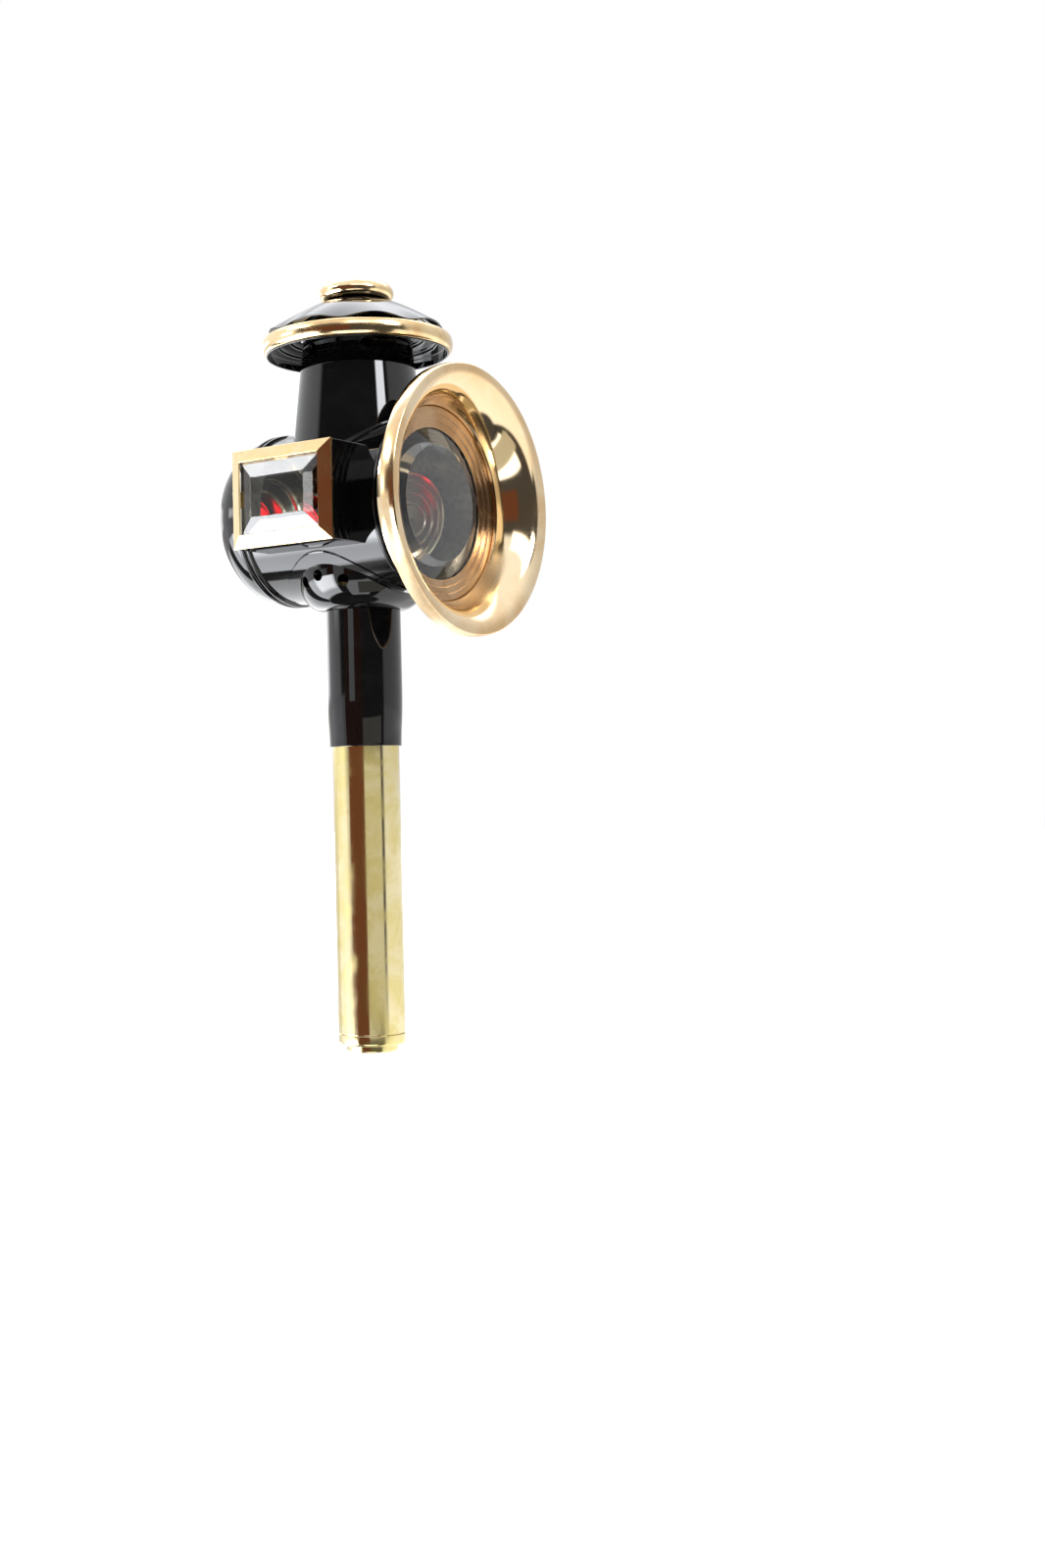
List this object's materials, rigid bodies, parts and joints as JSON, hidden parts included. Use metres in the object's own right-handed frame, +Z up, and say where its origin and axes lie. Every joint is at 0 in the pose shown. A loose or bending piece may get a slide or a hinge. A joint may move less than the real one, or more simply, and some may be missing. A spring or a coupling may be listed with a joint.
{
  "type": "coach lamp",
  "caption": "Candle carriage lamp: black drum body with hinged flared brass front, bevelled side window, chimney with scalloped canopy, and a round stem for a bracket.",
  "frame": {"origin": "on the stem's axis, at the top of its exposed length, where the black socket's lower edge rests on a bracket", "axes": "+Z up along the stem and chimney, -Y the way the flared front faces, -X the way the side window faces"},
  "size_m": [0.1365, 0.151, 0.3942],
  "materials": {
    "black_lacquer": "deep gloss black lacquer on sheet metal",
    "polished_brass": "polished",
    "stem_brass": "drawn tube, polished, slightly tarnished",
    "plain_brass": "plain, handled",
    "reflector_tin": "tinned and burnished",
    "steel": "plain steel",
    "clear_glass": "clear, bevelled and polished",
    "red_glass": "ruby red, polished",
    "wax": "candle wax",
    "wick_cotton": "charred cotton"
  },
  "bodies": {
    "lamp_body": {"stem_socket": "black_lacquer", "drum_shell": "black_lacquer", "rear_dome": "black_lacquer", "bottom_bowl": "black_lacquer", "chimney": "black_lacquer", "canopy": "black_lacquer", "scalloped_cover": "black_lacquer", "window_box": "black_lacquer", "hinge_leaf_drum": "black_lacquer", "canopy_ring": "polished_brass", "knob": "polished_brass", "window_frame": "polished_brass", "rear_bezel": "polished_brass", "hinge_pin": "polished_brass", "stem_tube": "stem_brass", "window_clips": "plain_brass", "rear_reflector": "reflector_tin", "side_reflector": "reflector_tin", "cover_stud": "steel", "cover_nut": "steel", "canopy_bridge": "steel", "rivets": "steel", "side_glass": "clear_glass", "red_lens": "red_glass"},
    "front_door": {"door_ring": "black_lacquer", "front_glass": "clear_glass", "glass_wire": "steel", "glass_bezel": "polished_brass", "flare": "polished_brass", "hinge_leaf_door": "black_lacquer"},
    "candle_carrier": {"candle_tube": "plain_brass", "end_cap": "stem_brass", "candle_spring": "steel"},
    "nozzle": {"candle_nozzle": "plain_brass"},
    "candle_feed": {"candle": "wax", "wick": "wick_cotton", "candle_follower": "plain_brass"}
  },
  "joints": [
    {"name": "front_door_hinge", "type": "hinge", "parent": "lamp_body", "child": "front_door", "pos_m": [0.0496, -0.04365, 0.12], "axis": [0, 0, 1], "range_deg": [0, 110]},
    {"name": "candle_tube_slide", "type": "slide", "parent": "lamp_body", "child": "candle_carrier", "axis": [0, 0, -1], "range_m": [0, 0.2]},
    {"name": "nozzle_lift", "type": "slide", "parent": "candle_carrier", "child": "nozzle", "axis": [0, 0, 1], "range_m": [0, 0.012]},
    {"name": "candle_feed_slide", "type": "slide", "parent": "candle_carrier", "child": "candle_feed", "axis": [0, 0, 1], "range_m": [-0.05, 0], "stiffness_N_per_m": 30, "springref_m": 0.06, "deforming": ["candle_spring"]}
  ]
}
